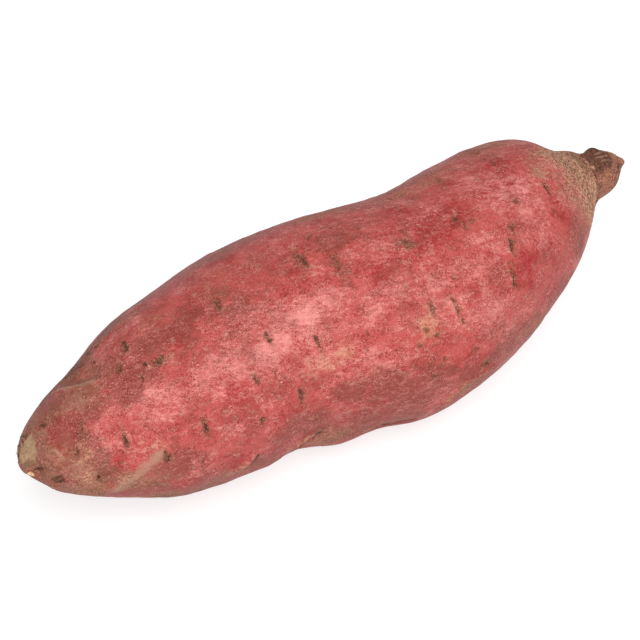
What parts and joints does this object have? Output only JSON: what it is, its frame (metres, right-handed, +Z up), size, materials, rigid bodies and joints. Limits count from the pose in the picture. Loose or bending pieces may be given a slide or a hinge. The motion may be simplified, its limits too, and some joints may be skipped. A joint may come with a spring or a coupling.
{
  "type": "sweet potato",
  "caption": "Whole unpeeled root vegetable: a gently bent spindle with a tapered tip, a short cut stem stub on the crown and a small flat spot under the belly to rest on.",
  "frame": {"origin": "middle of the bounding box's bottom face, at the height of the flat spot the root rests on", "axes": "+X along the root from the tapered tip to the crown and stem stub, +Y across it, +Z up"},
  "size_m": [0.1986, 0.0696, 0.0602],
  "materials": {
    "skin": "matte"
  },
  "bodies": {
    "root": {"sweet_potato": "skin"}
  },
  "joints": []
}
